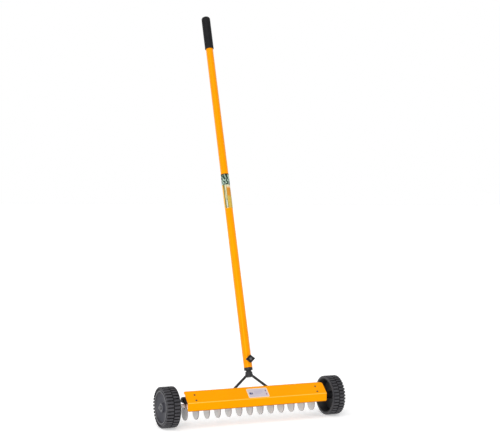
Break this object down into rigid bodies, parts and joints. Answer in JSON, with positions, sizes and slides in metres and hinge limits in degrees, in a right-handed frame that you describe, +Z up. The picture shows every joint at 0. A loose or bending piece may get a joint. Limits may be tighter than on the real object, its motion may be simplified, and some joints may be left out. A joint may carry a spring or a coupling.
{
  "type": "magnetic nail sweeper",
  "caption": "two-wheeled magnetic nail sweeper: bent steel cover, row of hanging magnet paddles, tilting yoke and a long pole with a hand grip",
  "frame": {"origin": "on the floor, below the middle of the whole sweeper's box, pole included", "axes": "+X along the axle to the right, -Y to the front, where the cover is, +Z up"},
  "size_m": [0.793, 0.6016, 1.6756],
  "materials": {
    "yellow_paint": "glossy yellow-orange powder coat on steel",
    "black_paint": "satin black powder coat on steel",
    "black_plastic": "matt black moulded plastic",
    "grip_rubber": "matt black moulded rubber",
    "wheel_plastic": "dark grey moulded wheel with a ribbed tread",
    "zinc_plate": "satin zinc plate",
    "white_nylon": "natural white nylon",
    "cover_label": "light grey printed film",
    "handle_label": "dark green and cream printed film"
  },
  "bodies": {
    "chassis": {"cover_plate": "yellow_paint", "cover_label": "cover_label", "cover_screw_left_lower": "zinc_plate", "cover_screw_left_upper": "zinc_plate", "cover_screw_right_lower": "zinc_plate", "cover_screw_right_upper": "zinc_plate", "frame_bar": "black_paint", "bar_plug_left": "black_plastic", "bar_plug_right": "black_plastic", "end_bracket_left": "black_paint", "end_bracket_right": "black_paint", "pivot_lug_left": "black_paint", "pivot_lug_right": "black_paint", "axle": "zinc_plate", "axle_cap_left": "black_plastic", "axle_cap_right": "black_plastic", "paddle_sleeve_01": "white_nylon", "paddle_sleeve_02": "white_nylon", "paddle_sleeve_03": "white_nylon", "paddle_sleeve_04": "white_nylon", "paddle_sleeve_05": "white_nylon", "paddle_sleeve_06": "white_nylon", "paddle_sleeve_07": "white_nylon", "paddle_sleeve_08": "white_nylon", "paddle_sleeve_09": "white_nylon", "paddle_sleeve_10": "white_nylon", "paddle_sleeve_11": "white_nylon", "paddle_sleeve_12": "white_nylon", "paddle_sleeve_13": "white_nylon", "paddle_sleeve_14": "white_nylon", "wheel_spacer_left": "white_nylon", "wheel_spacer_right": "white_nylon"},
    "left_wheel": {"wheel_left": "wheel_plastic", "wheel_bush_left": "white_nylon"},
    "right_wheel": {"wheel_right": "wheel_plastic", "wheel_bush_right": "white_nylon"},
    "paddle_01": {"magnet_paddle_01": "zinc_plate"},
    "paddle_02": {"magnet_paddle_02": "zinc_plate"},
    "paddle_03": {"magnet_paddle_03": "zinc_plate"},
    "paddle_04": {"magnet_paddle_04": "zinc_plate"},
    "paddle_05": {"magnet_paddle_05": "zinc_plate"},
    "paddle_06": {"magnet_paddle_06": "zinc_plate"},
    "paddle_07": {"magnet_paddle_07": "zinc_plate"},
    "paddle_08": {"magnet_paddle_08": "zinc_plate"},
    "paddle_09": {"magnet_paddle_09": "zinc_plate"},
    "paddle_10": {"magnet_paddle_10": "zinc_plate"},
    "paddle_11": {"magnet_paddle_11": "zinc_plate"},
    "paddle_12": {"magnet_paddle_12": "zinc_plate"},
    "paddle_13": {"magnet_paddle_13": "zinc_plate"},
    "yoke": {"yoke_socket": "black_paint", "yoke_arm_left": "black_paint", "yoke_arm_right": "black_paint", "pin_cap_left": "zinc_plate", "pin_cap_right": "zinc_plate"},
    "handle": {"handle_pole": "yellow_paint", "hand_grip": "grip_rubber", "handle_label": "handle_label"},
    "knob": {"lock_knob": "black_plastic", "knob_stud": "zinc_plate"}
  },
  "joints": [
    {"name": "left_wheel_roll", "type": "hinge", "parent": "chassis", "child": "left_wheel", "pos_m": [-0.3625, -0.22081, 0.08], "axis": [1, 0, 0], "continuous": true},
    {"name": "right_wheel_roll", "type": "hinge", "parent": "chassis", "child": "right_wheel", "pos_m": [0.3625, -0.22081, 0.08], "axis": [1, 0, 0], "continuous": true},
    {"name": "paddle_01_swing", "type": "hinge", "parent": "chassis", "child": "paddle_01", "pos_m": [-0.2882, -0.22081, 0.08], "axis": [1, 0, 0], "range_deg": [-40, 40]},
    {"name": "paddle_02_swing", "type": "hinge", "parent": "chassis", "child": "paddle_02", "pos_m": [-0.2415, -0.22081, 0.08], "axis": [1, 0, 0], "range_deg": [-40, 40]},
    {"name": "paddle_03_swing", "type": "hinge", "parent": "chassis", "child": "paddle_03", "pos_m": [-0.1948, -0.22081, 0.08], "axis": [1, 0, 0], "range_deg": [-40, 40]},
    {"name": "paddle_04_swing", "type": "hinge", "parent": "chassis", "child": "paddle_04", "pos_m": [-0.1481, -0.22081, 0.08], "axis": [1, 0, 0], "range_deg": [-40, 40]},
    {"name": "paddle_05_swing", "type": "hinge", "parent": "chassis", "child": "paddle_05", "pos_m": [-0.1014, -0.22081, 0.08], "axis": [1, 0, 0], "range_deg": [-40, 40]},
    {"name": "paddle_06_swing", "type": "hinge", "parent": "chassis", "child": "paddle_06", "pos_m": [-0.0547, -0.22081, 0.08], "axis": [1, 0, 0], "range_deg": [-40, 40]},
    {"name": "paddle_07_swing", "type": "hinge", "parent": "chassis", "child": "paddle_07", "pos_m": [-0.008, -0.22081, 0.08], "axis": [1, 0, 0], "range_deg": [-40, 40]},
    {"name": "paddle_08_swing", "type": "hinge", "parent": "chassis", "child": "paddle_08", "pos_m": [0.0387, -0.22081, 0.08], "axis": [1, 0, 0], "range_deg": [-40, 40]},
    {"name": "paddle_09_swing", "type": "hinge", "parent": "chassis", "child": "paddle_09", "pos_m": [0.0854, -0.22081, 0.08], "axis": [1, 0, 0], "range_deg": [-40, 40]},
    {"name": "paddle_10_swing", "type": "hinge", "parent": "chassis", "child": "paddle_10", "pos_m": [0.1321, -0.22081, 0.08], "axis": [1, 0, 0], "range_deg": [-40, 40]},
    {"name": "paddle_11_swing", "type": "hinge", "parent": "chassis", "child": "paddle_11", "pos_m": [0.1788, -0.22081, 0.08], "axis": [1, 0, 0], "range_deg": [-40, 40]},
    {"name": "paddle_12_swing", "type": "hinge", "parent": "chassis", "child": "paddle_12", "pos_m": [0.2255, -0.22081, 0.08], "axis": [1, 0, 0], "range_deg": [-40, 40]},
    {"name": "paddle_13_swing", "type": "hinge", "parent": "chassis", "child": "paddle_13", "pos_m": [0.2722, -0.22081, 0.08], "axis": [1, 0, 0], "range_deg": [-40, 40]},
    {"name": "yoke_tilt", "type": "hinge", "parent": "chassis", "child": "yoke", "pos_m": [0, -0.21481, 0.126], "axis": [1, 0, 0], "range_deg": [-70, 60]},
    {"name": "pole_pull", "type": "slide", "parent": "yoke", "child": "handle", "axis": [0, 0.308, 0.9514], "range_m": [0, 0.07]},
    {"name": "knob_turn", "type": "hinge", "parent": "handle", "child": "knob", "pos_m": [0, -0.17846, 0.23826], "axis": [0, -0.9514, 0.308], "range_deg": [0, 405]}
  ]
}
